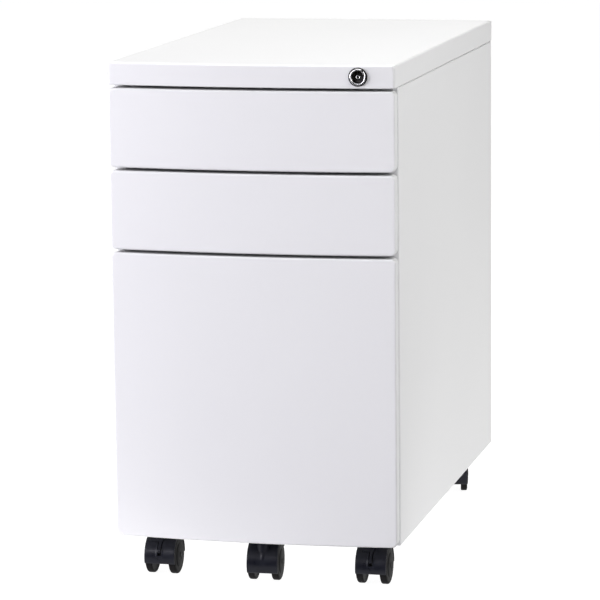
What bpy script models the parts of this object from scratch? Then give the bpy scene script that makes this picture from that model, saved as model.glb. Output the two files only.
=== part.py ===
# Slim mobile drawer pedestal in folded sheet steel: two box drawers over one file drawer,
# a one-piece pressed top cover with a cam lock, and five twin-wheel casters.
# Metres, +Z up, the fronts face -Y. The origin is on the floor, under the centre of the outline.
# All dimensions below are millimetres; MM turns them into metres.

import math

import bmesh
import bpy
from mathutils import Matrix, Vector

MM = 0.001

# ---------------------------------------------------------------- driving dimensions
WIDTH = 300.0          # over the top cover and the drawer fronts
DEPTH = 540.0          # from the front corners to the back of the top cover
BOW = 9.0              # how far the middle of the fronts stands ahead of their corners
HEIGHT = 548.0         # floor to top
COVER_H = 23.5         # height of the top cover's skirt
SHEET = 1.0            # sheet thickness
GAP = 3.0              # shadow gap between fronts
CLEAR = 0.3            # gap kept between pieces that touch

FRONT_D = 18.0         # depth of a drawer front's sides
FRONT_R = 5.0          # corner radius of a drawer front
CASE_Y = 19.5          # front face of the case behind the drawer fronts
CASE_X = 149.5         # outer face of a side panel
CASE_Z0 = 49.6         # bottom of the side panels
FLANGE = 11.0          # inward flange of a side panel

COVER_Z0 = HEIGHT - COVER_H
TOP_Z1 = COVER_Z0 - GAP
TOP_Z0 = TOP_Z1 - 82.0
MID_Z1 = TOP_Z0 - GAP
MID_Z0 = MID_Z1 - 82.0
FILE_Z1 = MID_Z0 - GAP
FILE_Z0 = 52.0

BOX_X = 126.0          # half width of a drawer box
BOX_Y0 = FRONT_D + CLEAR
BOX_Y1 = BOX_Y0 + 471.0
BOX_Z = {"top": (449.0, 507.0), "middle": (364.0, 422.0), "file": (62.0, 312.0)}
TAB_Z = {"top": 495.0, "middle": 410.0, "file": 300.0}      # lock tabs behind the boxes
TAB_X = (94.0, 95.5)

SLIDE_Y = (22.0, 480.0)
SLIDE_Z = {"top": 470.0, "middle": 385.0, "file": 200.0}
SLIDE_H = {"top": 35.0, "middle": 35.0, "file": 45.0}
RAIL_SPACING = 387.0   # foolscap hanging files, hook to hook

LOCK_X, LOCK_Z = 113.0, COVER_Z0 + COVER_H / 2
CRANK_R = 8.0          # lock rod's crank
BAR_X = (101.5, 109.5)
BAR_Y = (525.5, 527.5)

WHEEL_R = 20.0
TRAIL = 12.0           # stem axis to wheel axle
CASTERS = {            # name: (stem x, stem y, height of the wheel's lowest point, turn, braked)
    "front_left": (-114.0, 66.9, 0.0, 0.0, True),
    "front_right": (114.0, 66.9, 0.0, 0.0, True),
    "rear_left": (-114.0, 483.5, 0.0, 5.0, False),
    "rear_right": (114.0, 483.5, 0.0, 11.0, False),
    "drawer": (0.0, 32.5, 1.0, 2.5, False),
}

Y_SHIFT = -(DEPTH - BOW) / 2   # puts the outline's centre at y = 0

for old in list(bpy.data.objects):
    bpy.data.objects.remove(old, do_unlink=True)


# ---------------------------------------------------------------- materials
def material(name, colour, roughness, metallic=0.0):
    m = bpy.data.materials.new(name)
    m.use_nodes = True
    shader = m.node_tree.nodes["Principled BSDF"]
    shader.inputs["Base Color"].default_value = (*colour, 1.0)
    shader.inputs["Roughness"].default_value = roughness
    shader.inputs["Metallic"].default_value = metallic
    m.diffuse_color = (*colour, 1.0)
    return m


WHITE = material("white_powder_coat", (0.84, 0.84, 0.85), 0.42)
ZINC = material("zinc_plated_steel", (0.62, 0.63, 0.65), 0.32, 1.0)
CHROME = material("chrome", (0.80, 0.80, 0.82), 0.10, 1.0)
STEEL = material("bright_steel", (0.50, 0.50, 0.52), 0.30, 1.0)
NYLON = material("black_nylon", (0.018, 0.018, 0.021), 0.38)


# ---------------------------------------------------------------- placing
swung = (0.0, 0.0, 0.0)    # stem x, stem y and turn of the caster being built


def swing(bm):
    x, y, turn = swung
    if turn:
        bmesh.ops.rotate(bm, verts=bm.verts, cent=(x, y, 0.0), matrix=Matrix.Rotation(math.radians(turn), 3, "Z"))


def swung_point(x, y, z):
    cx, cy, turn = swung
    c, s = math.cos(math.radians(turn)), math.sin(math.radians(turn))
    return (cx + c * (x - cx) - s * (y - cy), cy + s * (x - cx) + c * (y - cy), z)


def axis_empty(name, at, parent=None):
    """An empty on a joint's axis; at is in millimetres, before the y shift."""
    e = bpy.data.objects.new(name, None)
    bpy.context.scene.collection.objects.link(e)
    e["at"] = at
    place(e, at, parent)
    return e


def place(o, at, parent):
    here = Vector(at) + Vector((0.0, Y_SHIFT, 0.0))
    if parent is not None:
        o.parent = parent
        here = Vector(at) - Vector(parent["at"])
    o.location = here * MM


def make(name, bm, mat, parent=None, at=(0.0, 0.0, 0.0), smooth=False):
    """One named piece. bm holds absolute millimetres; the object's origin goes to at."""
    if parent is not None:
        at = tuple(parent["at"])
    swing(bm)
    bmesh.ops.translate(bm, verts=bm.verts, vec=-Vector(at))
    bmesh.ops.scale(bm, verts=bm.verts, vec=(MM, MM, MM))
    bmesh.ops.recalc_face_normals(bm, faces=bm.faces)
    mesh = bpy.data.meshes.new(name)
    bm.to_mesh(mesh)
    bm.free()
    mesh.materials.append(mat)
    if smooth:
        mesh.shade_smooth()
        mesh.set_sharp_from_angle(angle=math.radians(35))
    o = bpy.data.objects.new(name, mesh)
    bpy.context.scene.collection.objects.link(o)
    place(o, at, parent)
    return o


def combine(target, bm, operation, label):
    """Adds bm to the target, or cuts it away, with an exact boolean."""
    parent = target.parent
    at = tuple(parent["at"]) if parent is not None else (0.0, 0.0, 0.0)
    swing(bm)
    bmesh.ops.translate(bm, verts=bm.verts, vec=-Vector(at))
    bmesh.ops.scale(bm, verts=bm.verts, vec=(MM, MM, MM))
    bmesh.ops.recalc_face_normals(bm, faces=bm.faces)
    mesh = bpy.data.meshes.new(label)
    bm.to_mesh(mesh)
    bm.free()
    tool = bpy.data.objects.new(label, mesh)
    bpy.context.scene.collection.objects.link(tool)
    place(tool, at, parent)
    tool.hide_render = True
    tool.display_type = "WIRE"
    mod = target.modifiers.new(label, "BOOLEAN")
    mod.operation = operation
    mod.solver = "EXACT"
    mod.object = tool
    return tool


# ---------------------------------------------------------------- shapes
def block(x0, x1, y0, y1, z0, z1):
    bm = bmesh.new()
    bmesh.ops.create_cube(bm, size=1.0)
    bmesh.ops.scale(bm, vec=(x1 - x0, y1 - y0, z1 - z0), verts=bm.verts)
    bmesh.ops.translate(bm, vec=((x0 + x1) / 2, (y0 + y1) / 2, (z0 + z1) / 2), verts=bm.verts)
    return bm


def prism(outline, axis, a, b):
    """A closed outline pushed along an axis. outline is (y, z), (x, z) or (x, y) for axis X, Y or Z."""
    def at(u, v, w):
        return {"X": (w, u, v), "Y": (u, w, v), "Z": (u, v, w)}[axis]

    bm = bmesh.new()
    face = bm.faces.new([bm.verts.new(at(u, v, a)) for u, v in outline])
    grown = bmesh.ops.extrude_face_region(bm, geom=[face])
    moved = [g for g in grown["geom"] if isinstance(g, bmesh.types.BMVert)]
    bmesh.ops.translate(bm, vec=Vector(at(0, 0, b)) - Vector(at(0, 0, a)), verts=moved)
    return bm


def turned(profile, axis, centre, steps, closed=False):
    """A profile of (radius, distance along the axis) spun round that axis through centre."""
    bm = bmesh.new()
    cx, cy, cz = centre
    points = []
    for r, d in profile:
        points.append(
            {"X": (d, cy, cz + r), "Y": (cx + r, d, cz), "Z": (cx + r, cy, d)}[axis]
        )
    verts = [bm.verts.new(p) for p in points]
    edges = [bm.edges.new((verts[i], verts[i + 1])) for i in range(len(verts) - 1)]
    if closed:
        edges.append(bm.edges.new((verts[-1], verts[0])))
    direction = {"X": (1, 0, 0), "Y": (0, 1, 0), "Z": (0, 0, 1)}[axis]
    bmesh.ops.spin(
        bm, geom=verts + edges, cent=centre, axis=direction,
        angle=math.tau, steps=steps, use_merge=True, use_duplicate=False,
    )
    bmesh.ops.remove_doubles(bm, verts=bm.verts, dist=1e-4)
    return bm


def rod(axis, centre, r, a, b, steps=16):
    return turned([(0, a), (r, a), (r, b), (0, b)], axis, centre, steps)


def shell(rings, split):
    """A closed skin through equal rings. The first split points of a ring are one long side and the
    rest run back along the other, so both end faces are strips between matching points."""
    bm = bmesh.new()
    made = [[bm.verts.new(p) for p in ring] for ring in rings]
    n = len(made[0])
    for a, b in zip(made, made[1:]):
        for i in range(n):
            j = (i + 1) % n
            bm.faces.new((a[i], a[j], b[j], b[i]))
    for ring in (made[0], made[-1]):
        low, high = ring[:split], ring[split:][::-1]
        for i in range(split - 1):
            bm.faces.new((low[i], low[i + 1], high[i + 1], high[i]))
    return bm


def bow(x):
    """How far ahead of the corner plane the front stands at x."""
    return BOW * (1.0 - (x / (WIDTH / 2)) ** 2)


def front_ring(half_x, z0, z1, r, y, bowed, arc=4, spans=12):
    """A rounded rectangle seen from the front, following the bow if asked."""
    side = [(-half_x + r * (1 - math.cos(a)), r * (1 - math.sin(a)))
            for a in (k * math.pi / 2 / arc for k in range(arc))]
    run = [(-half_x + r + (2 * half_x - 2 * r) * k / spans, 0.0) for k in range(spans + 1)]
    chain = side + run + [(-x, dz) for x, dz in reversed(side)]
    low = [(x, z0 + dz) for x, dz in chain]
    high = [(x, z1 - dz) for x, dz in reversed(chain)]
    ring = [(x, y - (bow(x) if bowed else 0.0), z) for x, z in low + high]
    return ring, len(low)


def front_pan(z0, z1):
    """Pressed drawer front: bowed face, four returns, and a lip round its back for the box."""
    h, t = WIDTH / 2, SHEET
    rings = []
    for half_x, a, b, r, y, bowed in (
        (h, z0, z1, FRONT_R, 0.0, True),
        (h, z0, z1, FRONT_R, FRONT_D, False),
        (h - 34, z0 + 9, z1 - 9, 2.0, FRONT_D, False),
        (h - 34, z0 + 9, z1 - 9, 2.0, FRONT_D - t, False),
        (h - t, z0 + t, z1 - t, FRONT_R - t, FRONT_D - t, False),
        (h - t, z0 + t, z1 - t, FRONT_R - t, t, True),
    ):
        ring, split = front_ring(half_x, a, b, r, y, bowed)
        rings.append(ring)
    return shell(rings, split)


def plan_ring(side, front, rear, z, spans=14):
    """The top cover's outline, inset by side, front and rear."""
    h = WIDTH / 2 - side
    xs = [-h + 2 * h * k / spans for k in range(spans + 1)]
    low = [(x, -bow(x) + front, z) for x in xs]
    high = [(x, DEPTH - rear, z) for x in reversed(xs)]
    return low + high, len(low)


def flat_pan(u0, u1, v0, v1, axis, a, b):
    """A plate with four flanges: the plate's outer face is at a and the flanges end at b."""
    s = SHEET if b > a else -SHEET

    def ring(inset, w):
        pts = [(u0 + inset, v0 + inset), (u1 - inset, v0 + inset),
               (u1 - inset, v1 - inset), (u0 + inset, v1 - inset)]
        return [{"X": (w, u, v), "Y": (u, w, v), "Z": (u, v, w)}[axis] for u, v in pts]

    bm = bmesh.new()
    rings = [[bm.verts.new(p) for p in r]
             for r in (ring(0, a), ring(0, b), ring(SHEET, b), ring(SHEET, a + s))]
    bm.faces.new(rings[0])
    bm.faces.new(rings[-1])
    for p, q in zip(rings, rings[1:]):
        for i in range(4):
            j = (i + 1) % 4
            bm.faces.new((p[i], p[j], q[j], q[i]))
    return bm


def mirrored_x(outline, side):
    return [(side * x, z) for x, z in outline]


# ---------------------------------------------------------------- case
def build_case():
    for label, s in (("left", -1.0), ("right", 1.0)):
        panel = flat_pan(CASE_Y, DEPTH - 0.7, CASE_Z0, COVER_Z0 - CLEAR, "X",
                         s * CASE_X, s * (CASE_X - FLANGE))
        make(label + "_side_panel", panel, WHITE)

    inner = CASE_X - SHEET - 0.6
    back = make("back_panel",
                flat_pan(-inner, inner, 52.2, COVER_Z0 - 1.6, "Y", DEPTH - 2.1, DEPTH - 12.1), WHITE)
    for k, z in enumerate((330.0, 470.0)):
        combine(back, block(98.5, 112.5, 522.5, DEPTH - 2.6, z, z + 3.0), "UNION", f"bar_guide_{k}")
        combine(back, block(BAR_X[0] - 0.3, BAR_X[1] + 0.3, BAR_Y[0] - 0.3, BAR_Y[1] + 0.3,
                            z - 5.0, z + 8.0), "DIFFERENCE", f"bar_guide_slot_{k}")

    # base plate, notched at the front for the drawer's own caster
    base = make("base_plate",
                prism([(-inner, 21.0), (-15.0, 21.0), (-15.0, 48.0), (15.0, 48.0), (15.0, 21.0),
                       (inner, 21.0), (inner, DEPTH - 2.5), (-inner, DEPTH - 2.5)],
                      "Z", 50.9, 51.9), WHITE)
    for name, (x, y, *_) in CASTERS.items():
        if name != "drawer":
            combine(base, rod("Z", (x, y, 0), 4.5, 45.0, 56.0), "DIFFERENCE", name + "_stem_hole")

    # top cover: flat top, bowed fascia, skirt, and a lip under it
    t = SHEET
    rings = []
    for side, front, rear, z in (
        (0, 0, 0, HEIGHT), (0, 0, 0, COVER_Z0), (12, 9, 10, COVER_Z0),
        (12, 9, 10, COVER_Z0 + t), (t, t, t, COVER_Z0 + t), (t, t, t, HEIGHT - t),
    ):
        ring, split = plan_ring(side, front, rear, z)
        rings.append(ring)
    cover = make("top_cover", shell(rings, split), WHITE)
    for k, y in enumerate((150.0, 498.0)):
        combine(cover, block(LOCK_X - 5, LOCK_X + 5, y, y + 2, LOCK_Z - 6, HEIGHT - 0.4),
                "UNION", f"rod_bracket_{k}")
        combine(cover, rod("Y", (LOCK_X, 0, LOCK_Z), 3.6, y - 4, y + 6, 12), "DIFFERENCE", f"rod_hole_{k}")
    combine(cover, rod("Y", (LOCK_X, 0, LOCK_Z), 10.4, -14.0, 3.0, 24), "DIFFERENCE", "lock_hole")

    rail_top = COVER_Z0 - 1.6
    make("top_front_rail",
         prism([(24, rail_top), (54, rail_top), (54, rail_top - 11), (53, rail_top - 11),
                (53, rail_top - 1), (25, rail_top - 1), (25, rail_top - 11), (24, rail_top - 11)],
               "X", -148.2, 148.2), WHITE)


# ---------------------------------------------------------------- slides
def i_section(web, flange_in, flange_out, half, s):
    t = SHEET
    return mirrored_x([
        (flange_in, half), (flange_out, half), (flange_out, half - t), (web + t, half - t),
        (web + t, -half + t), (flange_out, -half + t), (flange_out, -half), (flange_in, -half),
        (flange_in, -half + t), (web, -half + t), (web, half - t), (flange_in, half - t),
    ], s)


def c_section(web, reach, half, s):
    t = SHEET
    return mirrored_x([
        (web, half), (reach, half), (reach, half - t), (web + t, half - t),
        (web + t, -half + t), (reach, -half + t), (reach, -half), (web, -half),
    ], s)


def build_slides(level, drawer, middle=None):
    """Cabinet members stand off the side panels, clear of the front flanges; drawer members ride on
    the boxes. The file drawer's slides have a middle member as well."""
    z = SLIDE_Z[level]
    half = SLIDE_H[level] / 2
    y0, y1 = SLIDE_Y
    for label, s in (("left", -1.0), ("right", 1.0)):
        def lifted(section):
            return [(x, dz + z) for x, dz in section]

        make(f"{level}_slide_case_{label}",
             prism(lifted(i_section(137.7, 129.2, 148.2, half, s)), "Y", y0, y1), ZINC)
        if middle is None:
            make(f"{level}_slide_drawer_{label}",
                 prism(lifted(c_section(126.3, 136.5, 14.0, s)), "Y", y0, y1 - 2), ZINC, drawer)
        else:
            make(f"{level}_slide_middle_{label}",
                 prism(lifted(i_section(131.6, 128.6, 136.9, 18.8, s)), "Y", y0, y1 - 2), ZINC, middle)
            make(f"{level}_slide_drawer_{label}",
                 prism(lifted(c_section(126.3, 131.0, 14.0, s)), "Y", y0, y1 - 2), ZINC, drawer)


# ---------------------------------------------------------------- drawers
def build_drawer(level, z0, z1):
    drawer = axis_empty(level + "_drawer_slide", (0.0, 0.0, (z0 + z1) / 2))
    make(level + "_drawer_front", front_pan(z0, z1), WHITE, drawer)

    b0, b1 = BOX_Z[level]
    box = make(level + "_drawer_box",
               flat_pan(-BOX_X, BOX_X, BOX_Y0, BOX_Y1, "Z", b0, b1), WHITE, drawer)
    # upright lock tab behind the box, notched from below for the lock bar's lug
    tab = TAB_Z[level]
    combine(box, block(*TAB_X, BOX_Y1 - 0.5, BAR_Y[1] + 6.0, tab - 8.0, tab + 6.0),
            "UNION", level + "_lock_tab")
    combine(box, block(TAB_X[0] - 1, TAB_X[1] + 1, BAR_Y[0] - 3.0, BAR_Y[1] + 3.0, tab - 9.0, tab + 0.5),
            "DIFFERENCE", level + "_lock_tab_notch")
    return drawer, box


def build_file_rails(drawer):
    """Two cross rails that hook over the box sides and carry hanging files."""
    top = BOX_Z["file"][1]
    edge = BOX_X + 1.5
    inside = BOX_X - SHEET - 0.5
    outline = [(-edge, top + 0.3), (-edge, top + 2.3), (edge, top + 2.3), (edge, top + 0.3),
               (inside, top + 0.3), (inside, top - 12), (-inside, top - 12), (-inside, top + 0.3)]
    for label, y in (("front", 30.0), ("rear", 30.0 + RAIL_SPACING)):
        make("file_rail_" + label, prism(outline, "Y", y, y + 2.0), ZINC, drawer)


# ---------------------------------------------------------------- lock
def build_lock():
    centre = (LOCK_X, 0.0, LOCK_Z)
    make("lock_housing", turned(
        [(6.4, -4.8), (7.4, -4.8), (8.8, -6.4), (9.6, -6.4), (10.0, -6.0), (10.0, -2.2),
         (8.0, -2.2), (8.0, 19.0), (6.4, 19.0)], "Y", centre, 24, closed=True), CHROME, smooth=True)

    nut = make("lock_nut", prism(
        [(LOCK_X + 11.5 * math.cos(a), LOCK_Z + 11.5 * math.sin(a))
         for a in (k * math.pi / 3 for k in range(6))], "Y", -1.2, 2.8), ZINC)
    combine(nut, rod("Y", centre, 8.3, -3.0, 5.0, 24), "DIFFERENCE", "lock_nut_bore")

    turn = axis_empty("lock_turn", centre)
    make("lock_plug", turned(
        [(0, -4.4), (2.2, -4.4), (2.2, 0.6), (4.2, 0.6), (4.2, -4.6), (6.1, -4.6),
         (6.1, 22.0), (0, 22.0)], "Y", centre, 24), CHROME, turn, smooth=True)

    # the crank points down and inward at rest, and up and inward once locked
    a = CRANK_R * math.sin(math.pi / 4)
    shaft = make("lock_rod", rod("Y", centre, 3.0, 22.3, 522.6, 12), ZINC, turn, smooth=True)
    along = Vector((-1.0, -1.0)).normalized()
    across = Vector((-along.y, along.x)) * 2.4
    tip, root = Vector((-a, -a)) + along * 2.4, Vector((0, 0)) - along * 2.4
    combine(shaft, prism([(LOCK_X + p.x, LOCK_Z + p.y) for p in
                          (root + across, root - across, tip - across, tip + across)],
                         "Y", 519.0, 523.0), "UNION", "crank_arm")
    combine(shaft, rod("Y", (LOCK_X - a, 0, LOCK_Z - a), 1.5, 521.0, 529.4, 12), "UNION", "crank_pin")

    # a flat bar with a lug under every drawer's tab, and a slotted head on the crank pin; the lugs
    # rise into the tabs' notches as the bar lifts
    lift = axis_empty("lock_bar_slide", (sum(BAR_X) / 2, sum(BAR_Y) / 2, LOCK_Z))
    y0, y1 = BAR_Y
    comb = [(BAR_X[1], 527.0), (BAR_X[1], TAB_Z["file"] - 22.0), (BAR_X[0], TAB_Z["file"] - 22.0)]
    for level in ("file", "middle", "top"):
        z = TAB_Z[level]
        comb += [(BAR_X[0], z - 20), (TAB_X[0] - 3.0, z - 20), (TAB_X[0] - 3.0, z - 12), (BAR_X[0], z - 12)]
    comb.append((BAR_X[0], 527.0))
    bar = make("lock_bar", prism(comb, "Y", y0, y1), ZINC, lift)
    pin_z = LOCK_Z - a
    combine(bar, block(100.3, 112.2, y0 + 0.2, y1 - 0.2, 524.9, pin_z + 4.6), "UNION", "bar_head")
    combine(bar, block(102.9, 109.4, y0 - 2, y1 + 2, pin_z - 2.2, pin_z + 2.2), "DIFFERENCE", "bar_head_slot")


# ---------------------------------------------------------------- casters
def sector(profile, cx, cy, cz, a0, a1, steps):
    """A closed (radius, x) profile swept part way round the wheel axle. Angles are from +Y towards +Z."""
    bm = bmesh.new()
    rings = []
    for k in range(steps + 1):
        a = math.radians(a0 + (a1 - a0) * k / steps)
        rings.append([bm.verts.new((cx + x, cy + r * math.cos(a), cz + r * math.sin(a)))
                      for r, x in profile])
    n = len(profile)
    for p, q in zip(rings, rings[1:]):
        for i in range(n):
            j = (i + 1) % n
            bm.faces.new((p[i], p[j], q[j], q[i]))
    bm.faces.new(rings[0])
    bm.faces.new(rings[-1])
    return bm


WHEEL_PROFILE = [(0.0, 17.9), (8.0, 17.7), (12.8, 17.2), (13.3, 16.8), (18.4, 16.5), (19.6, 15.9), (20.0, 14.9),
                 (20.0, 9.9), (19.3, 9.0), (2.8, 9.0), (2.8, 16.0), (0.0, 16.0)]
HOOD = [(20.8, 16.5), (21.6, 16.5), (22.0, 16.0), (22.0, -16.0), (21.6, -16.5), (20.8, -16.5)]


def build_caster(name, parent=None):
    """Twin wheels under a half-round guard. A braked caster rests with its stem behind the axle and
    its pedal to the front; a plain one rests the other way round, with a shorter guard."""
    global swung
    x, y, lift, turn, braked = CASTERS[name]
    swung = (x, y, turn)
    ay = y - TRAIL if braked else y + TRAIL     # the wheel axle
    az = WHEEL_R + lift
    a0, a1 = (-3, 196) if braked else (35, 205)
    swivel = axis_empty(f"caster_{name}_swivel", (x, y, az), parent)

    # the stem stays with the case, or with the drawer
    if name == "drawer":
        profile = [(0, az + 4.5), (3.0, az + 4.5), (3.0, az + 23.8), (6.0, az + 23.8), (6.0, 61.7),
                   (4.0, 61.7), (4.0, 68.0), (0, 68.0)]
    else:
        profile = [(0, az + 4.5), (3.0, az + 4.5), (3.0, az + 23.8), (7.0, az + 23.8), (7.0, 50.6),
                   (4.0, 50.6), (4.0, 58.0), (0, 58.0)]
    make(f"caster_{name}_stem", turned(profile, "Z", (x, y, 0), 16), STEEL, parent, smooth=True)

    # guard over the treads, a web between the wheels, and a neck round the stem
    hood = make(f"caster_{name}_hood", sector(HOOD, x, ay, az, a0, a1, 14), NYLON, swivel)
    web = [(ay + 21.5 * math.cos(a), az + 21.5 * math.sin(a))
           for a in (math.radians(a0 + 1 + (a1 - a0 - 2) * k / 12) for k in range(13))]
    web += [(ay - 6.0, az - 6.0), (ay + 6.0, az - 6.0)]
    combine(hood, prism(web, "X", x - 4.6, x + 4.6), "UNION", f"{name}_web")
    combine(hood, rod("Z", (x, y, 0), 6.4, az + 8.0, az + 23.3), "UNION", f"{name}_neck")
    combine(hood, rod("Z", (x, y, 0), 3.5, az + 3.8, az + 30.0), "DIFFERENCE", f"{name}_socket")
    combine(hood, rod("X", (0, ay, az), 2.8, x - 9.0, x + 9.0), "DIFFERENCE", f"{name}_axle_bore")
    if braked:
        # a slot in the guard and web, and a rocking pedal: a pad above and a tongue down the slot
        slot = [(17.5, -2.7), (25.0, -2.7), (25.0, 2.7), (17.5, 2.7)]
        combine(hood, sector(slot, x, ay, az, 122.5, 173, 8), "DIFFERENCE", f"{name}_pedal_slot")
        a = math.radians(128)
        pivot = axis_empty(f"brake_{name}_tilt",
                           (x, ay + 22.2 * math.cos(a), az + 22.2 * math.sin(a)), swivel)
        pad = [(22.6, -10.5), (24.2, -10.5), (24.2, 2.5), (22.6, 2.5)]
        tongue = [(21.2, -1.9), (23.6, -1.9), (23.6, 1.9), (21.2, 1.9)]
        pedal = make(f"caster_{name}_brake_pedal", sector(pad, x, ay, az, 98, 129, 6), NYLON, pivot)
        combine(pedal, sector(tongue, x, ay, az, 124, 164, 8), "UNION", f"{name}_tongue")

    make(f"caster_{name}_axle", rod("X", (0, ay, az), 2.5, x - 15.8, x + 15.8), STEEL, swivel, smooth=True)
    for label, s in (("left", -1.0), ("right", 1.0)):
        spin = axis_empty(f"wheel_{name}_{label}_spin", swung_point(x + s * 12.4, ay, az), swivel)
        make(f"caster_{name}_wheel_{label}",
             turned([(r, x + s * w) for r, w in WHEEL_PROFILE], "X", (0, ay, az), 20),
             NYLON, spin, smooth=True)
    swung = (0.0, 0.0, 0.0)


build_case()
top, _ = build_drawer("top", TOP_Z0, TOP_Z1)
build_slides("top", top)
mid, _ = build_drawer("middle", MID_Z0, MID_Z1)
build_slides("middle", mid)
low, low_box = build_drawer("file", FILE_Z0, FILE_Z1)
combine(low_box, rod("Z", (CASTERS["drawer"][0], CASTERS["drawer"][1], 0), 4.5, 58.0, 66.0),
        "DIFFERENCE", "drawer_stem_hole")
file_middle = axis_empty("file_middle_slide", (0.0, 0.0, SLIDE_Z["file"]))
build_slides("file", low, file_middle)
build_file_rails(low)
build_lock()
for caster in CASTERS:
    build_caster(caster, low if caster == "drawer" else None)
bpy.context.view_layer.update()
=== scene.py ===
# Visual model of the slim mobile drawer pedestal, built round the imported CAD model.
# Lengths in the helpers below are millimetres in the model's own frame; MM turns them into metres.

import math

import bmesh
import bpy
from mathutils import Matrix, Vector


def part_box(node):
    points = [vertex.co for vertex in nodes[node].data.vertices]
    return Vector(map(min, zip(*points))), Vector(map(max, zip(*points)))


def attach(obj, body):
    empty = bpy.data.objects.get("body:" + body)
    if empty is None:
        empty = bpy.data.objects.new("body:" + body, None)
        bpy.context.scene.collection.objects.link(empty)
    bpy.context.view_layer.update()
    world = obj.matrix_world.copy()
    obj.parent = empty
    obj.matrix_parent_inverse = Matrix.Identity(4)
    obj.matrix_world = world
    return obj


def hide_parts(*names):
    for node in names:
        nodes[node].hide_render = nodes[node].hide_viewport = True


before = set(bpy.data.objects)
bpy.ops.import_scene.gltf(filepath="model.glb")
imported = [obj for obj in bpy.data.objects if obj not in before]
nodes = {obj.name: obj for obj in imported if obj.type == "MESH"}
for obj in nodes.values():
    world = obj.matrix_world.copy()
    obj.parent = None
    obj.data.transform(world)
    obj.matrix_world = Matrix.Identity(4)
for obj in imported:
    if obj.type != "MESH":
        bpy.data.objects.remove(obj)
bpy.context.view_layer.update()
MM = 0.001


def box_mm(node):
    lo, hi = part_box(node)
    return [v * 1000 for v in lo], [v * 1000 for v in hi]


# ------------------------------------------------------------------ places taken from the frame
COVER_LO, COVER_HI = box_mm("top_cover")
BOW = 9.0                               # the fronts' middle stands this far ahead of their corners
HALF_W = COVER_HI[0]
HEIGHT = COVER_HI[2]
COVER_Z0 = COVER_LO[2]
Y_CORNER = COVER_LO[1] + BOW            # plane of the front corners
Y_BACK = COVER_HI[1]
SHEET = 1.0


def bow(x):
    return BOW * (1.0 - (x / HALF_W) ** 2)


# ------------------------------------------------------------------ materials
def new_material(name):
    m = bpy.data.materials.new(name)
    m.use_nodes = True
    tree = m.node_tree
    return m, tree, tree.nodes["Principled BSDF"]


def noise(tree, scale, detail=4.0, roughness=0.5, stretch=None):
    """Noise in object space; stretch squeezes it along each axis."""
    coords = tree.nodes.new("ShaderNodeTexCoord")
    n = tree.nodes.new("ShaderNodeTexNoise")
    n.inputs["Scale"].default_value = scale
    n.inputs["Detail"].default_value = detail
    n.inputs["Roughness"].default_value = roughness
    if stretch:
        mapping = tree.nodes.new("ShaderNodeMapping")
        mapping.inputs["Scale"].default_value = stretch
        tree.links.new(coords.outputs["Object"], mapping.inputs["Vector"])
        tree.links.new(mapping.outputs["Vector"], n.inputs["Vector"])
    else:
        tree.links.new(coords.outputs["Object"], n.inputs["Vector"])
    return n


def ramp(tree, source, stops):
    r = tree.nodes.new("ShaderNodeValToRGB")
    r.color_ramp.elements[0].position, r.color_ramp.elements[0].color = stops[0][0], (*stops[0][1], 1)
    r.color_ramp.elements[1].position, r.color_ramp.elements[1].color = stops[-1][0], (*stops[-1][1], 1)
    for p, c in stops[1:-1]:
        e = r.color_ramp.elements.new(p)
        e.color = (*c, 1)
    tree.links.new(source, r.inputs["Fac"])
    return r


def spread(tree, source, low, high):
    m = tree.nodes.new("ShaderNodeMapRange")
    m.inputs["From Min"].default_value = 0.3
    m.inputs["From Max"].default_value = 0.7
    m.inputs["To Min"].default_value = low
    m.inputs["To Max"].default_value = high
    tree.links.new(source, m.inputs["Value"])
    return m.outputs["Result"]


def bump(tree, shader, source, strength, distance):
    b = tree.nodes.new("ShaderNodeBump")
    b.inputs["Strength"].default_value = strength
    b.inputs["Distance"].default_value = distance
    tree.links.new(source, b.inputs["Height"])
    tree.links.new(b.outputs["Normal"], shader.inputs["Normal"])
    return b


def powder_coat():
    """White powder coat: orange-peel ripple a couple of millimetres across, a fine grain on it, and a
    very slight drift of tone over the sheet."""
    m, t, s = new_material("powder_coat_white")
    drift = noise(t, 3.0, 2.0)
    base = ramp(t, drift.outputs["Fac"], [(0.3, (0.795, 0.795, 0.797)), (0.7, (0.815, 0.815, 0.815))])
    # painted shade: the colour is darkened where the ambient-occlusion node finds other surfaces within 6 mm, so that
    # seams and gaps read as dark lines
    close = t.nodes.new("ShaderNodeAmbientOcclusion")
    close.samples = 8
    close.inputs["Distance"].default_value = 0.006
    painted_seam_shade = ramp(t, close.outputs["AO"], [(0.12, (0.10, 0.10, 0.105)), (0.34, (1.0, 1.0, 1.0))])
    coat = t.nodes.new("ShaderNodeMix")
    coat.data_type = "RGBA"
    coat.blend_type = "MULTIPLY"
    coat.inputs["Factor"].default_value = 1.0
    t.links.new(base.outputs["Color"], coat.inputs[6])
    t.links.new(painted_seam_shade.outputs["Color"], coat.inputs[7])
    t.links.new(coat.outputs[2], s.inputs["Base Color"])
    grain = noise(t, 2600.0, 2.0)
    t.links.new(spread(t, grain.outputs["Fac"], 0.40, 0.52), s.inputs["Roughness"])
    peel = noise(t, 420.0, 3.0, 0.55)
    add = t.nodes.new("ShaderNodeMath")
    add.operation = "MULTIPLY_ADD"
    t.links.new(grain.outputs["Fac"], add.inputs[0])
    add.inputs[1].default_value = 0.25
    t.links.new(peel.outputs["Fac"], add.inputs[2])
    bump(t, s, add.outputs["Value"], 0.10, 0.0006)
    s.inputs["Specular IOR Level"].default_value = 0.45
    return m


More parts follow.
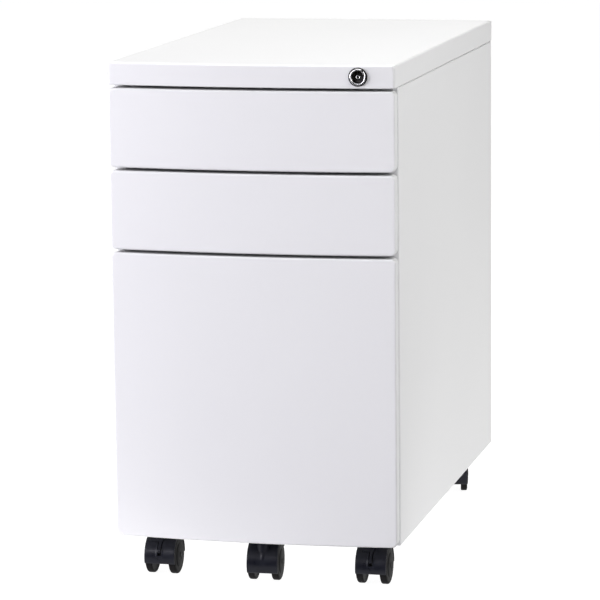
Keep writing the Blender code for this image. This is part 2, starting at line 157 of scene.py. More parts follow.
def zinc():
    """Zinc-plated strip: pale grey, brushed along its length, with a faint warm and cool mottle."""
    m, t, s = new_material("zinc_plate")
    mottle = noise(t, 60.0, 3.0)
    base = ramp(t, mottle.outputs["Fac"], [(0.3, (0.55, 0.56, 0.58)), (0.5, (0.63, 0.63, 0.64)), (0.7, (0.60, 0.59, 0.56))])
    t.links.new(base.outputs["Color"], s.inputs["Base Color"])
    s.inputs["Metallic"].default_value = 1.0
    lines = noise(t, 900.0, 3.0, 0.6, (1.0, 0.03, 1.0))
    t.links.new(spread(t, lines.outputs["Fac"], 0.28, 0.45), s.inputs["Roughness"])
    bump(t, s, lines.outputs["Fac"], 0.08, 0.0003)
    return m


def bright_steel():
    m, t, s = new_material("turned_steel")
    rings = noise(t, 700.0, 2.0, 0.5, (1.0, 1.0, 6.0))
    base = ramp(t, rings.outputs["Fac"], [(0.3, (0.44, 0.44, 0.46)), (0.7, (0.56, 0.56, 0.57))])
    t.links.new(base.outputs["Color"], s.inputs["Base Color"])
    s.inputs["Metallic"].default_value = 1.0
    t.links.new(spread(t, rings.outputs["Fac"], 0.22, 0.38), s.inputs["Roughness"])
    return m


def chrome():
    """Chrome plate: mirror-bright with the faint swirl of polishing."""
    m, t, s = new_material("chrome_plate")
    swirl = noise(t, 350.0, 3.0)
    base = ramp(t, swirl.outputs["Fac"], [(0.3, (0.78, 0.78, 0.80)), (0.7, (0.86, 0.86, 0.87))])
    t.links.new(base.outputs["Color"], s.inputs["Base Color"])
    s.inputs["Metallic"].default_value = 1.0
    t.links.new(spread(t, swirl.outputs["Fac"], 0.05, 0.13), s.inputs["Roughness"])
    return m


def lock_face_painted_dark():
    """The lock plug's face, coloured near-black as painted shade and a painted dark reflection for its recess, paler
    in random spots.
    """
    m, t, s = new_material("lock_plug_painted_dark")
    plug_speckle = noise(t, 700.0, 4.0)
    base = ramp(t, plug_speckle.outputs["Fac"], [(0.3, (0.012, 0.011, 0.011)), (0.60, (0.03, 0.028, 0.027)), (0.75, (0.16, 0.15, 0.15))])
    t.links.new(base.outputs["Color"], s.inputs["Base Color"])
    s.inputs["Metallic"].default_value = 1.0
    t.links.new(spread(t, plug_speckle.outputs["Fac"], 0.22, 0.40), s.inputs["Roughness"])
    return m


def nylon(name, low, high, rough_low, rough_high, strength, sheen, ior=1.5):
    """Moulded black nylon: fine spark texture, soft sheen, the odd paler scuff."""
    m, t, s = new_material(name)
    cloud = noise(t, 90.0, 4.0)
    base = ramp(t, cloud.outputs["Fac"], [(0.3, low), (0.7, high)])
    t.links.new(base.outputs["Color"], s.inputs["Base Color"])
    t.links.new(spread(t, cloud.outputs["Fac"], rough_low, rough_high), s.inputs["Roughness"])
    spark = noise(t, 3200.0, 2.0)
    bump(t, s, spark.outputs["Fac"], strength, 0.0002)
    s.inputs["Specular IOR Level"].default_value = sheen
    s.inputs["IOR"].default_value = ior
    return m


WHITE = powder_coat()
ZINC = zinc()
STEEL = bright_steel()
CHROME = chrome()
# near-black lock face: painted shade and a painted dark reflection
LOCK_PAINTED_DARK = lock_face_painted_dark()
HOOD = nylon("nylon_hood", (0.0030, 0.0034, 0.0074), (0.0062, 0.0069, 0.0125), 0.27, 0.38, 0.08, 0.24)
WHEEL = nylon("nylon_wheel", (0.0085, 0.0083, 0.0085), (0.0150, 0.0146, 0.0148), 0.32, 0.46, 0.12, 0.5, 1.06)
RUBBER = nylon("bumper_rubber", (0.008, 0.008, 0.008), (0.014, 0.014, 0.014), 0.65, 0.80, 0.25, 0.2)


# ------------------------------------------------------------------ mesh helpers
def finish_mesh(name, bm, mat, body, sharp=40.0, at=(0.0, 0.0, 0.0), weighted=True, recalc=True):
    """Turns millimetre geometry into a piece that rides on a body."""
    bmesh.ops.translate(bm, verts=bm.verts, vec=-Vector(at))
    bmesh.ops.scale(bm, verts=bm.verts, vec=(MM, MM, MM))
    if recalc:
        bmesh.ops.recalc_face_normals(bm, faces=bm.faces)
    mesh = bpy.data.meshes.new(name)
    bm.to_mesh(mesh)
    bm.free()
    mesh.materials.append(mat)
    mesh.shade_smooth()
    mesh.set_sharp_from_angle(angle=math.radians(sharp))
    o = bpy.data.objects.new(name, mesh)
    bpy.context.scene.collection.objects.link(o)
    o.location = Vector(at) * MM
    if weighted:
        w = o.modifiers.new("even_normals", "WEIGHTED_NORMAL")
        w.keep_sharp = True
    if body:
        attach(o, body)
    return o


def bevelled(o, width, segments=2, angle=35.0):
    """Breaks the edges; the bevel stays last in the modifier stack."""
    b = o.modifiers.new("edge_break", "BEVEL")
    b.width = width * MM
    b.segments = segments
    b.limit_method = "ANGLE"
    b.angle_limit = math.radians(angle)
    b.harden_normals = False
    for k, m in enumerate(list(o.modifiers)):
        if m.name == "edge_break":
            o.modifiers.move(k, max(0, len(o.modifiers) - 2) if o.modifiers[-1].name != "edge_break" else k)
    return o


def apply_boolean(o, cutter_bm, operation="DIFFERENCE"):
    """Cuts once, here, and keeps the result as plain mesh."""
    bmesh.ops.scale(cutter_bm, verts=cutter_bm.verts, vec=(MM, MM, MM))
    bmesh.ops.recalc_face_normals(cutter_bm, faces=cutter_bm.faces)
    mesh = bpy.data.meshes.new("cutter")
    cutter_bm.to_mesh(mesh)
    cutter_bm.free()
    tool = bpy.data.objects.new("cutter", mesh)
    bpy.context.scene.collection.objects.link(tool)
    mod = o.modifiers.new("cut", "BOOLEAN")
    mod.operation = operation
    mod.solver = "EXACT"
    mod.object = tool
    others = [m for m in o.modifiers if m.name != mod.name]
    shown = [m.show_viewport for m in others]
    for m in others:
        m.show_viewport = False
    bpy.context.view_layer.update()
    dg = bpy.context.evaluated_depsgraph_get()
    result = bpy.data.meshes.new_from_object(o.evaluated_get(dg))
    o.modifiers.remove(mod)
    for m, was in zip([m for m in o.modifiers], shown):
        m.show_viewport = was
    bm = bmesh.new()
    bm.from_mesh(result)
    bmesh.ops.remove_doubles(bm, verts=bm.verts, dist=2e-7)
    bmesh.ops.holes_fill(bm, edges=[e for e in bm.edges if e.is_boundary], sides=12)
    bm.to_mesh(result)
    bm.free()
    name = o.data.name
    old = o.data
    o.data = result
    bpy.data.meshes.remove(old)
    o.data.name = name
    bpy.data.objects.remove(tool, do_unlink=True)
    bpy.data.meshes.remove(mesh)
    return o


def block(x0, x1, y0, y1, z0, z1):
    bm = bmesh.new()
    bmesh.ops.create_cube(bm, size=1.0)
    bmesh.ops.scale(bm, vec=(x1 - x0, y1 - y0, z1 - z0), verts=bm.verts)
    bmesh.ops.translate(bm, vec=((x0 + x1) / 2, (y0 + y1) / 2, (z0 + z1) / 2), verts=bm.verts)
    return bm


def join(*parts):
    """One bmesh from several."""
    out = bmesh.new()
    for p in parts:
        mesh = bpy.data.meshes.new("join")
        p.to_mesh(mesh)
        p.free()
        out.from_mesh(mesh)
        bpy.data.meshes.remove(mesh)
    return out


def rounded(u0, u1, v0, v1, r, arc=6, spans=1):
    """A rounded rectangle as two chains with matching u values; returns the points and the split."""
    r = max(r, 0.02)
    side = [(u0 + r * (1 - math.cos(a)), r * (1 - math.sin(a)))
            for a in (k * math.pi / 2 / arc for k in range(arc))]
    run = [(u0 + r + (u1 - u0 - 2 * r) * k / spans, 0.0) for k in range(spans + 1)]
    chain = side + run + [(u0 + u1 - u, dv) for u, dv in reversed(side)]
    return [(u, v0 + dv) for u, dv in chain] + [(u, v1 - dv) for u, dv in reversed(chain)], len(chain)


def loft(rings, split=None):
    """A skin through equal rings, its ends closed with strips where split is given."""
    bm = bmesh.new()
    made = [[bm.verts.new(p) for p in ring] for ring in rings]
    n = len(made[0])
    for a, b in zip(made, made[1:]):
        for i in range(n):
            j = (i + 1) % n
            bm.faces.new((a[i], a[j], b[j], b[i]))
    if split:
        for ring in (made[0], made[-1]):
            low, high = ring[:split], ring[split:][::-1]
            for i in range(split - 1):
                bm.faces.new((low[i], low[i + 1], high[i + 1], high[i]))
    return bm


def spun(profile, axis, centre, steps=48, closed=False):
    """(radius, distance) profile turned round an axis through centre."""
    bm = bmesh.new()
    rings = []
    u, v = {"X": (1, 2), "Y": (0, 2), "Z": (0, 1)}[axis]
    w = {"X": 0, "Y": 1, "Z": 2}[axis]
    for r, d in profile:
        ring = []
        count = 1 if r < 1e-6 else steps
        for k in range(count):
            a = math.tau * k / steps
            p = [0.0, 0.0, 0.0]
            p[u] = centre[u] + r * math.cos(a)
            p[v] = centre[v] + r * math.sin(a)
            p[w] = centre[w] + d
            ring.append(bm.verts.new(p))
        rings.append(ring)
    pairs = list(zip(rings, rings[1:]))
    if closed:
        pairs.append((rings[-1], rings[0]))
    for a, b in pairs:
        for k in range(steps):
            j = (k + 1) % steps
            if len(a) == 1 and len(b) == 1:
                continue
            if len(a) == 1:
                bm.faces.new((a[0], b[j], b[k]))
            elif len(b) == 1:
                bm.faces.new((a[k], a[j], b[0]))
            else:
                bm.faces.new((a[k], a[j], b[j], b[k]))
    return bm


def curve_points(points, steps=6):
    """A smooth run through the given points (Catmull-Rom)."""
    out = []
    p = [points[0]] + list(points) + [points[-1]]
    for i in range(1, len(p) - 2):
        for k in range(steps):
            t = k / steps
            out.append(tuple(
                0.5 * (2 * b + (c - a) * t + (2 * a - 5 * b + 4 * c - d) * t * t + (3 * b - a - 3 * c + d) * t ** 3)
                for a, b, c, d in zip(p[i - 1], p[i], p[i + 1], p[i + 2])))
    out.append(tuple(points[-1]))
    return out


# ------------------------------------------------------------------ drawer fronts
def pressed_front(level):
    """Bowed face with rolled edges and round corners, four returns, and the lip the box is screwed to."""
    node = f"{level}_drawer_front"
    lo, hi = box_mm(node)
    z0, z1 = lo[2], hi[2]
    depth = hi[1] - Y_CORNER
    h, t, corner, roll = HALF_W, SHEET, 5.4, 2.1
    rings = []

    def ring(du, dv, w, r, bowed):
        pts, split = rounded(-h + du, h - du, z0 + dv, z1 - dv, r, 7, 60)
        rings.append([(x, Y_CORNER + w - (bow(x) if bowed else 0.0), z) for x, z in pts])
        return split

    for k in range(9):
        a = math.radians(90 * k / 8)
        d = roll * (1 - math.sin(a))
        split = ring(d, d, roll * (1 - math.cos(a)), corner - d, True)
    for k in range(4):
        a = math.radians(30 * k)
        d = 0.9 * (1 - math.cos(a))
        ring(1.5 + d, d, depth - 0.9 * (1 - math.sin(a)), corner - d, False)
    ring(34, 9, depth, 2.0, False)
    ring(34.4, 9.4, depth - 0.5, 1.6, False)
    ring(34, 9, depth - t, 2.0, False)
    ring(1.5 + t, t, depth - t, corner - t, False)
    ring(t + 0.2, t, t + 2.0, corner - t, True)
    ring(t + 2.0, t + 2.0, t, corner - t - 2.0, True)
    o = finish_mesh(f"{level}_front_skin", loft(rings, split), WHITE, f"{level}_drawer")
    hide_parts(node)
    return o


# ------------------------------------------------------------------ top cover
def pressed_cover():
    """Flat top with rolled edges, bowed fascia, skirt and an inward lip, with a hole for the lock."""
    h, t, roll, corner = HALF_W, SHEET, 2.4, 2.9
    rings = []

    def ring(side, front, rear, z, rc):
        pts, split = rounded(-h + side, h - side, 0.0, 1.0, 1e-3, 1, 60)
        rc = max(rc, 0.3)
        arc = 7
        ends = [(-h + side + rc * (1 - math.cos(a)), rc * (1 - math.sin(a)))
                for a in (k * math.pi / 2 / arc for k in range(arc))]
        run = [(-h + side + rc + 2 * (h - side - rc) * k / 60, 0.0) for k in range(61)]
        chain = ends + run + [(-x, dy) for x, dy in reversed(ends)]
        low = [(x, Y_CORNER - bow(x) + front + dy, z) for x, dy in chain]
        high = [(x, Y_BACK - rear - dy, z) for x, dy in reversed(chain)]
        rings.append(low + high)
        return len(chain)

    for k in range(9):
        a = math.radians(90 * k / 8)
        d = roll * (1 - math.sin(a))
        split = ring(d, d, d, HEIGHT - roll * (1 - math.cos(a)), corner - d)
    for k in range(4):
        a = math.radians(30 * k)
        d = 0.8 * (1 - math.cos(a))
        ring(d, d, d, COVER_Z0 + 0.8 * (1 - math.sin(a)), corner - d)
    ring(12, 9, 10, COVER_Z0, 1.0)
    ring(12, 9, 10, COVER_Z0 + t, 1.0)
    ring(t, t, t, COVER_Z0 + t, corner - t)
    ring(t, t, t, HEIGHT - t - 1.6, corner - t)
    ring(t + 1.6, t + 1.6, t + 1.6, HEIGHT - t, corner - t - 1.6)
    o = finish_mesh("top_cover_skin", loft(rings, split), WHITE, "case")
    lo, hi = box_mm("lock_housing")
    cx, cz = (lo[0] + hi[0]) / 2, (lo[2] + hi[2]) / 2
    apply_boolean(o, spun([(0, -12), (9.0, -12), (9.0, 6), (0, 6)], "Y", (cx, lo[1] + 6, cz), 64))
    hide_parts("top_cover")
    for k, y in enumerate((-115.5, 232.5)):
        hanger = finish_mesh(f"rod_hanger_{k}", block(cx - 5, cx + 5, y, y + 2, cz - 6, HEIGHT - t),
                             WHITE, "case", weighted=False)
        apply_boolean(hanger, spun([(0, -4), (3.6, -4), (3.6, 6), (0, 6)], "Y", (cx, y, cz), 24))
    return o


# ------------------------------------------------------------------ side panels
def folded_side(label, s):
    node = f"{label}_side_panel"
    lo, hi = box_mm(node)
    outer = max(abs(lo[0]), abs(hi[0]))
    depth = hi[0] - lo[0]
    t, roll, corner = SHEET, 1.7, 1.9
    rings = []

    def ring(d, w, r):
        pts, split = rounded(lo[1] + d, hi[1] - d, lo[2] + d, hi[2] - d, r, 4, 1)
        rings.append([(s * (outer - w), y, z) for y, z in pts])
        return split

    for k in range(7):
        a = math.radians(15 * k)
        d = roll * (1 - math.sin(a))
        split = ring(d, roll * (1 - math.cos(a)), corner - d)
    ring(0.0, depth - 0.4, corner)
    ring(0.15, depth - 0.1, corner - 0.15)
    ring(0.5, depth, corner - 0.5)
    ring(t, depth - 0.3, corner - t)
    ring(t, t + 0.8, corner - t)
    ring(t + 0.8, t, 0.1)
    o = finish_mesh(f"{label}_side_skin", loft(rings, split), WHITE, "case")
    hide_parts(node)
    return o


# ------------------------------------------------------------------ drawer boxes
def folded_box(level):
    """Tray with rounded vertical corners, a hemmed rim and a lock tab behind it."""
    node = f"{level}_drawer_box"
    lo, hi = box_mm(node)
    x1 = hi[0]
    y0 = lo[1]
    y1 = y0 + 471.0
    z0, z1 = lo[2], hi[2]
    t, corner = SHEET, 3.0
    rings = []

    def ring(d, z, r):
        pts, split = rounded(-x1 + d, x1 - d, y0 + d, y1 - d, r, 5, 1)
        rings.append([(x, y, z) for x, y in pts])
        return split

    for k in range(6):
        a = math.radians(18 * k)
        d = 1.8 * (1 - math.sin(a))
        split = ring(d, z0 + 1.8 * (1 - math.cos(a)), corner - d)
    hem = 1.1
    for k in range(9):
        a = math.radians(22.5 * k)
        d = hem * (1 - math.cos(a))
        ring(d, z1 - hem * (1 - math.sin(a)), corner - d)
    ring(2 * hem, z1 - 8.6, corner - 2 * hem)
    ring(t + 0.8, z1 - 9.0, corner - t - 0.8)
    ring(t, z1 - 9.2, corner - t)
    ring(t, z0 + t + 1.2, corner - t)
    ring(t + 0.4, z0 + t + 0.4, corner - t - 0.4)
    ring(t + 1.2, z0 + t, corner - t - 1.2)
    body = f"{level}_drawer"
    o = finish_mesh(f"{level}_box_skin", loft(rings, split), WHITE, body)
    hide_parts(node)
    if level == "file":
        stem_lo, stem_hi = box_mm("caster_drawer_stem")
        sx, sy = (stem_lo[0] + stem_hi[0]) / 2, (stem_lo[1] + stem_hi[1]) / 2
        apply_boolean(o, spun([(0, -6), (4.4, -6), (4.4, 6), (0, 6)], "Z", (sx, sy, z0), 32))
    bar_lo, bar_hi = box_mm("lock_bar")
    tab_z = {"top": 495.0, "middle": 410.0, "file": 300.0}[level]
    tab = finish_mesh(f"{level}_lock_tab", join(block(94.0, 95.5, y1 + 0.1, hi[1], tab_z - 8, tab_z + 6),
                                                block(95.4, 104.0, y1 + 0.05, y1 + 1.3, tab_z - 8, tab_z + 6)),
                      WHITE, body, weighted=False)
    apply_boolean(tab, block(93.0, 96.5, bar_lo[1] - 3.0, bar_hi[1] + 3.0, tab_z - 9, tab_z + 0.5))
    bevelled(tab, 0.25)
    return o


# ------------------------------------------------------------------ lock
def lock_pieces():
    lo, hi = box_mm("lock_housing")
    cx, cz = (lo[0] + hi[0]) / 2, (lo[2] + hi[2]) / 2
    front = lo[1]
    centre = (cx, 0.0, cz)
    # flange: a crowned ring that falls away to its rim, and the wall of the recess inside it
    prof = [(6.5, front + 3.2), (6.55, front + 1.3), (6.65, front + 0.75), (6.85, front + 0.36), (7.15, front + 0.1),
            (7.5, front + 0.0), (7.85, front + 0.12), (8.2, front + 0.42), (8.45, front + 0.8), (8.6, front + 1.3),
            (8.65, front + 4.2), (8.0, front + 4.4), (8.0, hi[1] - 0.5), (7.6, hi[1]), (6.5, hi[1])]
    o = finish_mesh("lock_housing_skin", spun(prof, "Y", centre, 96, closed=True), CHROME, "case", sharp=40)
    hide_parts("lock_housing")

    # a black ring round the flange is painted shade standing in for the dark gap there; it shows as a thin line
    lock_shadow_ring = finish_mesh("lock_painted_shadow_ring", spun(
        [(8.5, front + 1.0), (9.2, front + 0.9), (9.5, front + 1.15), (9.55, front + 4.0), (8.5, front + 4.0)],
        "Y", centre, 96, closed=True), RUBBER, "case", sharp=50)

    plo, phi = box_mm("lock_plug")
    face = plo[1]
    body = [(0, face + 3.2), (2.7, face + 3.2), (3.3, face + 1.9), (3.7, face + 1.25), (5.2, face + 1.0),
            (5.8, face + 0.95), (6.25, face + 1.2), (6.35, face + 1.7), (6.35, phi[1] - 0.4), (5.9, phi[1]), (0, phi[1])]
    # the plug and its pin carry the near-black painted shade and painted dark reflection
    plug = finish_mesh("lock_plug_skin", spun(body, "Y", centre, 72), LOCK_PAINTED_DARK, "lock", sharp=35)
    apply_boolean(plug, block(cx - 0.6, cx + 0.6, face - 1.0, face + 2.4, cz + 3.7, cz + 5.6))
    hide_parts("lock_plug")
    post = [(1.25, face + 3.4), (1.25, face + 0.9), (1.45, face + 0.6), (1.75, face + 0.5), (2.05, face + 0.65),
            (2.25, face + 1.0), (2.3, face + 3.4)]
    finish_mesh("lock_plug_post", spun(post, "Y", centre, 48, closed=True), CHROME, "lock", sharp=45)
    tongue = spun([(0, face + 1.3), (0.5, face + 1.3), (0.75, face + 1.6), (0.75, face + 3.4), (0, face + 3.4)],
                  "Y", centre, 24)
    finish_mesh("lock_plug_pin", tongue, LOCK_PAINTED_DARK, "lock", sharp=45)


# ------------------------------------------------------------------ casters
CASTERS = {                      # turn about the stem at rest, braked
    "front_left": (0.0, True), "front_right": (0.0, True),
    "rear_left": (5.0, False), "rear_right": (11.0, False), "drawer": (2.5, False),
}
TRAIL = 12.0


def polar(x, r, degrees):
    """A point of the caster's own frame: the axle runs along X through the origin, the front is at 180."""
    a = math.radians(degrees)
    return (x, r * math.cos(a), r * math.sin(a))


def smooth(t):
    t = min(1.0, max(0.0, t))
    return t * t * (3 - 2 * t)


def guard_relief(x, a, braked):
    """Height of the moulded relief on the guard: the plain one has the stem's fairing, a funnel that
    narrows down its front and trails off; the braked one has a low frame round the pedal's slot."""
    if braked:
        beside = smooth((3.9 - abs(x)) / 0.5) * smooth((a - 132) / 2) * smooth((176.5 - a) / 1.2)
        return 0.18 * beside
    w = 1.9 + 6.0 * smooth((158 - a) / 58) ** 1.2
    inside = smooth((w - abs(x - 0.2)) / 1.3)
    return 0.7 * inside * smooth((172 - a) / 30)


def guard_mesh(a0, a1, braked):
    """Half tube over both treads. The outside is a fine grid so that the relief can stand on it."""
    xs = [-15.75 + 31.5 * k / 56 for k in range(57)]
    steps = 84
    edge = [(22.0 - 0.75 * (1 - math.cos(math.radians(t))), 15.75 + 0.75 * math.sin(math.radians(t)))
            for t in (30, 60, 90)]
    bm = bmesh.new()
    rings = []
    for k in range(steps + 1):
        a = a0 + (a1 - a0) * k / steps
        end = min(k, steps - k)
        drop = (0.55, 0.2, 0.05)[end] if end < 3 else 0.0
        outer = [(x, 22.0 + guard_relief(x, a, braked) - drop) for x in xs]
        right = [(w, r - drop) for r, w in edge]
        left = [(-w, r - drop) for r, w in reversed(edge)]
        under = [(16.5, 20.9), (0.0, 20.9), (-16.5, 20.9)]
        rings.append([bm.verts.new(polar(x, r, a)) for x, r in outer + right + under + left])
    n = len(rings[0])
    for p, q in zip(rings, rings[1:]):
        for i in range(n):
            j = (i + 1) % n
            bm.faces.new((p[i], p[j], q[j], q[i]))
    bm.faces.new(rings[0])
    bm.faces.new(rings[-1])
    return bm


def wedge(x0, x1, r0, r1, a0, a1, steps=16, taper=0.0):
    """A block bent round the axle; taper narrows it towards its far end."""
    bm = bmesh.new()
    rings = []
    for k in range(steps + 1):
        t = k / steps
        c, h = (x0 + x1) / 2, (x1 - x0) / 2 - taper * t
        rings.append([bm.verts.new(polar(x, r, a0 + (a1 - a0) * t))
                      for x, r in ((c - h, r0), (c + h, r0), (c + h, r1), (c - h, r1))])
    for p, q in zip(rings, rings[1:]):
        for i in range(4):
            j = (i + 1) % 4
            bm.faces.new((p[i], p[j], q[j], q[i]))
    bm.faces.new(rings[0])
    bm.faces.new(rings[-1])
    return bm


TREAD = [(0.0, 17.9), (2.9, 17.9), (3.3, 17.55), (5.0, 17.5), (5.4, 17.75), (9.0, 17.6), (12.2, 17.25), (12.8, 17.05),
         (13.1, 16.7), (13.6, 16.6), (17.6, 16.55), (18.7, 16.35), (19.4, 15.95), (19.85, 15.3), (20.0, 14.5),
         (20.0, 10.4), (19.85, 9.7), (19.4, 9.15), (18.6, 9.0), (17.0, 9.6), (7.6, 9.9), (6.8, 9.05), (2.8, 9.0),
         (2.8, 16.0), (0.0, 16.0)]


def caster_pieces(name):
    turn, braked = CASTERS[name]
    slo, shi = box_mm(f"caster_{name}_stem")
    sx, sy = (slo[0] + shi[0]) / 2, (slo[1] + shi[1]) / 2
    alo, ahi = box_mm(f"caster_{name}_axle")
    az = (alo[2] + ahi[2]) / 2
    behind = TRAIL if braked else -TRAIL         # the stem stands behind the axle, or ahead of it
    local = (Matrix.Translation((sx, sy, az)) @ Matrix.Rotation(math.radians(turn), 4, "Z")
             @ Matrix.Translation((0, -behind, 0)))
    centre = tuple(local.translation)
    body = f"caster_{name}"

    def put(bm):
        bmesh.ops.transform(bm, matrix=local, verts=bm.verts)
        return bm

    a0, a1 = (-3.0, 196.0) if braked else (35.0, 205.0)
    guard = finish_mesh(f"{body}_guard", put(guard_mesh(a0, a1, braked)), HOOD, body,
                        sharp=50, at=centre)
    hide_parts(f"caster_{name}_hood")

    # web between the wheels with the axle boss, and the neck round the stem
    web = [polar(0, 21.2, a0 + 1 + (a1 - a0 - 2) * k / 40)[1:] for k in range(41)]
    web += [(-7.5, -6.2), (-5.0, -7.6), (0.0, -8.2), (5.0, -7.6), (7.5, -6.2)]
    wb = bmesh.new()
    face = wb.faces.new([wb.verts.new((-4.6, u, v)) for u, v in web])
    grown = bmesh.ops.extrude_face_region(wb, geom=[face])
    bmesh.ops.translate(wb, vec=(9.2, 0, 0), verts=[g for g in grown["geom"] if isinstance(g, bmesh.types.BMVert)])
    webo = finish_mesh(f"{body}_web", put(wb), HOOD, body, sharp=30, at=centre)
    neck = [(3.5, 8.0), (6.4, 8.0), (6.4, 22.5), (5.8, 23.2), (3.5, 23.2)]
    nb = spun(neck, "Z", (0, 0, 0), 48, closed=True)
    bmesh.ops.translate(nb, vec=(0, behind, 0), verts=nb.verts)
    necko = finish_mesh(f"{body}_neck", put(nb), HOOD, body, at=centre)
    for target in (guard, webo):                 # the socket that the stem turns in
        socket = [(0, slo[2] - 0.3), (3.5, slo[2] - 0.3), (3.5, az + 26), (0, az + 26)]
        apply_boolean(target, spun(socket, "Z", (sx, sy, 0.0), 48))
    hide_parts(f"caster_{name}_hood")
    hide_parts(f"caster_{name}_hood")

    if braked:
        for target in (guard, webo):
            cut = put(wedge(-2.7, 2.7, 17.3, 25.0, 122.0, 172.5, 20, 0.6))
            apply_boolean(target, cut)
        cut = put(wedge(-2.1, 2.1, 21.55, 25.0, 175.5, 184.5, 6))
        apply_boolean(guard, cut)
        brake = f"brake_{name}"
        padm = bmesh.new()
        rings = [[padm.verts.new(polar(x, r, a)) for x, r in ((-10.5, 22.4), (2.5, 22.4), (2.5, top), (-10.5, top))]
                 for a, top in ((98, 24.2), (104, 24.2), (110, 24.2), (116, 24.2), (120, 24.2), (123, 24.0),
                                (126, 23.6), (129, 23.1), (131.5, 22.6))]
        for p, q in zip(rings, rings[1:]):
            for k in range(4):
                padm.faces.new((p[k], p[(k + 1) % 4], q[(k + 1) % 4], q[k]))
        padm.faces.new(rings[0])
        padm.faces.new(rings[-1])
        pad = finish_mesh(f"{brake}_pad", put(padm), HOOD, brake, sharp=50, at=centre)
        bevelled(pad, 0.35, 3, 50)
        tongue = bmesh.new()
        rings = []
        for t, h, top in ((0.0, 1.9, 23.3), (0.2, 1.8, 23.1), (0.45, 1.5, 22.9), (0.62, 1.35, 22.9), (0.72, 1.5, 23.3),
                          (0.82, 1.75, 23.75), (0.92, 1.8, 23.7), (1.0, 1.6, 22.9)):
            a = 125.0 + 39.0 * t
            rings.append([tongue.verts.new(polar(x, r, a)) for x, r in ((-h, 21.2), (h, 21.2), (h, top), (-h, top))])
        for p, q in zip(rings, rings[1:]):
            for i in range(4):
                tongue.faces.new((p[i], p[(i + 1) % 4], q[(i + 1) % 4], q[i]))
        tongue.faces.new(rings[0])
        tongue.faces.new(rings[-1])
        tongueo = finish_mesh(f"{brake}_tongue", put(tongue), HOOD, brake, sharp=50, at=centre)
        bevelled(tongueo, 0.4, 3, 50)
        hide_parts(f"caster_{name}_brake_pedal")
        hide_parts(f"caster_{name}_brake_pedal")

    for label, s in (("left", -1.0), ("right", 1.0)):
        wheel = put(spun([(r, s * d) for r, d in TREAD], "X", (0, 0, 0), 80))
        w = finish_mesh(f"wheel_{name}_{label}_skin", wheel, WHEEL, f"wheel_{name}_{label}", sharp=50,
                        at=tuple(local @ Vector((s * 12.4, 0, 0))))
        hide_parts(f"caster_{name}_wheel_{label}")


# ------------------------------------------------------------------ small fixings
def fixing_mesh(kind):
    """Shared meshes, pointing along +Z, in metres: a cross-recess screw, a dome rivet, a bumper."""
    if kind == "screw":
        bm = spun([(0, 2.2)] + [(3.6 * math.sin(a), 2.2 * math.cos(a) ** 0.8)
                                for a in (math.radians(12 * k) for k in range(1, 7))] + [(3.6, 0.5), (3.6, 0.0), (0, 0)],
                  "Z", (0, 0, 0), 32)
        mat = ZINC
    elif kind == "rivet":
        bm = spun([(0, 1.1)] + [(2.6 * math.sin(a), 0.1 + 1.0 * math.cos(a))
                                for a in (math.radians(15 * k) for k in range(1, 7))] + [(2.6, 0.0), (0, 0)],
                  "Z", (0, 0, 0), 24)
        mat = WHITE
    else:
        bm = spun([(0, 1.1), (2.4, 1.1), (2.9, 0.9), (3.1, 0.4), (3.1, 0.0), (0, 0)], "Z", (0, 0, 0), 24)
        mat = RUBBER
    o = finish_mesh("shared_" + kind, bm, mat, None, sharp=45, weighted=False)
    if kind == "screw":
        for a, b in ((2.0, 0.42), (0.42, 2.0)):
            apply_boolean(o, block(-a, a, -b, b, 1.0, 4.0))
    mesh = o.data
    bpy.data.objects.remove(o, do_unlink=True)
    return mesh


FIXINGS = {}


def fixing(kind, name, at, direction, body, turn=0.0):
    if kind not in FIXINGS:
        FIXINGS[kind] = fixing_mesh(kind)
    o = bpy.data.objects.new(name, FIXINGS[kind])
    bpy.context.scene.collection.objects.link(o)
    o.matrix_world = (Matrix.Translation(Vector(at) * MM) @ Vector(direction).to_track_quat("Z", "Y").to_matrix().to_4x4()
                      @ Matrix.Rotation(turn, 4, "Z"))
    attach(o, body)
    return o


def fixings():
    for level in ("top", "middle", "file"):
        lo, hi = box_mm(f"{level}_drawer_box")
        z0, z1 = lo[2], hi[2]
        inside_y = lo[1] + SHEET
        inside_x = hi[0] - SHEET
        rows = (z0 + 14, z1 - 14) if level != "file" else (z0 + 24, (z0 + z1) / 2, z1 - 24)
        for i, s in enumerate((-1, 1)):
            for j, z in enumerate(rows):
                fixing("screw", f"{level}_front_screw_{i}{j}", (s * 120.5, inside_y, z), (0, 1, 0), f"{level}_drawer",
                       0.3 + 0.9 * i + 0.5 * j)
            slo, shi = box_mm(f"{level}_slide_drawer_left")
            zc = (slo[2] + shi[2]) / 2
            for j, f in enumerate((0.08, 0.42, 0.86)):
                y = slo[1] + (shi[1] - slo[1]) * f
                fixing("rivet", f"{level}_slide_rivet_{i}{j}", (s * inside_x, y, zc), (-s, 0, 0), f"{level}_drawer")
    back = box_mm("back_panel")
    for i, s in enumerate((-1, 1)):
        slo, shi = box_mm("right_side_panel")
        for j, z in enumerate((80.0, 210.0, 350.0, 490.0)):
            fixing("rivet", f"back_rivet_{i}{j}", (s * 143.5, shi[1] + 0.0, z), (0, 1, 0), "case")
    # rubber bumpers on the case flanges, one pair behind each front's upper corners
    flange_y = box_mm("right_side_panel")[0][1]
    for level in ("top", "middle", "file"):
        lo, hi = box_mm(f"{level}_drawer_front")
        for i, s in enumerate((-1, 1)):
            fixing("bumper", f"{level}_bumper_{i}", (s * 144.0, flange_y, hi[2] - 22.0), (0, -1, 0), "case")


